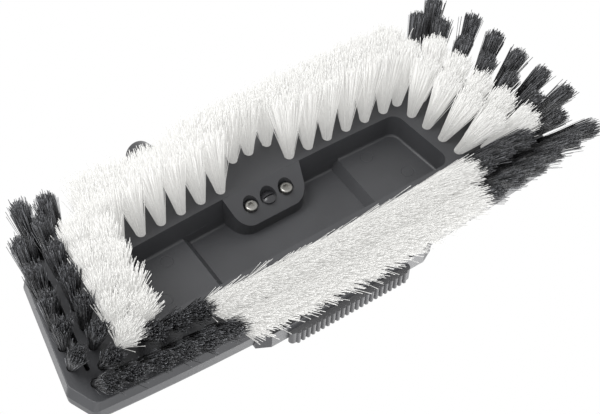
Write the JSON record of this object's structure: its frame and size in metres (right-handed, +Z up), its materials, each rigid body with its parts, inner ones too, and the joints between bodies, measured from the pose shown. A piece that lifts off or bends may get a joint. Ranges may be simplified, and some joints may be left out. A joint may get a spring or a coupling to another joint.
{
  "type": "manual pool brush head",
  "caption": "Long trapezoid brush head for pools and spas: splayed white and grey tufts round a trough, a spray nozzle in a wedge boss, a ribbed bumper and a tilting neck for a pole.",
  "frame": {"origin": "bottom centre of the whole object as it stands on its bristle tips", "axes": "+X along the head, +Y towards the side the neck leans to, +Z up, away from the floor"},
  "size_m": [0.3414, 0.2558, 0.1737],
  "materials": {
    "block_plastic": "fine moulded texture",
    "cover_plastic": "fine moulded texture",
    "hinge_plastic": "glass-filled nylon, satin",
    "nozzle_plastic": "smooth black acetal",
    "button_plastic": "smooth light grey acetal",
    "knob_plastic": "satin",
    "washer_plastic": "natural acetal",
    "white_bristle": "flagged polyester filament",
    "grey_bristle": "flagged polyester filament",
    "bumper_rubber": "soft thermoplastic rubber",
    "seal_rubber": "nitrile rubber",
    "screw_steel": "stainless, turned",
    "anchor_steel": "stainless wire",
    "insert_brass": "turned brass",
    "tube_aluminium": "anodised, satin"
  },
  "bodies": {
    "head": {"bristle_block": "block_plastic", "deck_cover": "cover_plastic", "tuft_anchors": "anchor_steel", "boss_screws": "screw_steel", "spray_nozzle": "nozzle_plastic", "nozzle_o_ring": "seal_rubber", "bumper_strip": "bumper_rubber", "pivot_base": "hinge_plastic", "base_inserts": "insert_brass", "hinge_bolt": "screw_steel", "knob_washer": "screw_steel", "white_tufts_back_inner_left": "white_bristle", "white_tufts_back_inner_right": "white_bristle", "white_tufts_back_outer": "white_bristle", "white_tufts_front_inner": "white_bristle", "white_tufts_front_outer": "white_bristle", "white_tufts_end_left": "white_bristle", "white_tufts_end_right": "white_bristle", "grey_tufts_end_inner_left": "grey_bristle", "grey_tufts_end_inner_right": "grey_bristle", "grey_tufts_end_outer_left": "grey_bristle", "grey_tufts_end_outer_right": "grey_bristle", "grey_tufts_front_left": "grey_bristle", "grey_tufts_front_right": "grey_bristle", "grey_tufts_back_left": "grey_bristle", "grey_tufts_back_right": "grey_bristle"},
    "neck": {"neck_yoke": "hinge_plastic", "neck_tube": "tube_aluminium", "stop_collar": "hinge_plastic", "pole_spigot": "nozzle_plastic", "spigot_o_rings": "seal_rubber", "button_spring": "screw_steel", "friction_washers": "washer_plastic"},
    "knob": {"thumb_knob": "knob_plastic"},
    "button": {"snap_button": "button_plastic"}
  },
  "joints": [
    {"name": "neck_tilt", "type": "hinge", "parent": "head", "child": "neck", "pos_m": [0, -0.02758, 0.0882], "axis": [1, 0, 0], "range_deg": [-15, 85]},
    {"name": "knob_turn", "type": "hinge", "parent": "head", "child": "knob", "pos_m": [0, -0.02758, 0.0882], "axis": [1, 0, 0], "range_deg": [0, 330]},
    {"name": "button_press", "type": "slide", "parent": "neck", "child": "button", "axis": [1, 0, 0], "range_m": [0, 0.003], "stiffness_N_per_m": 600, "springref_m": -0.002, "deforming": ["button_spring"]}
  ]
}
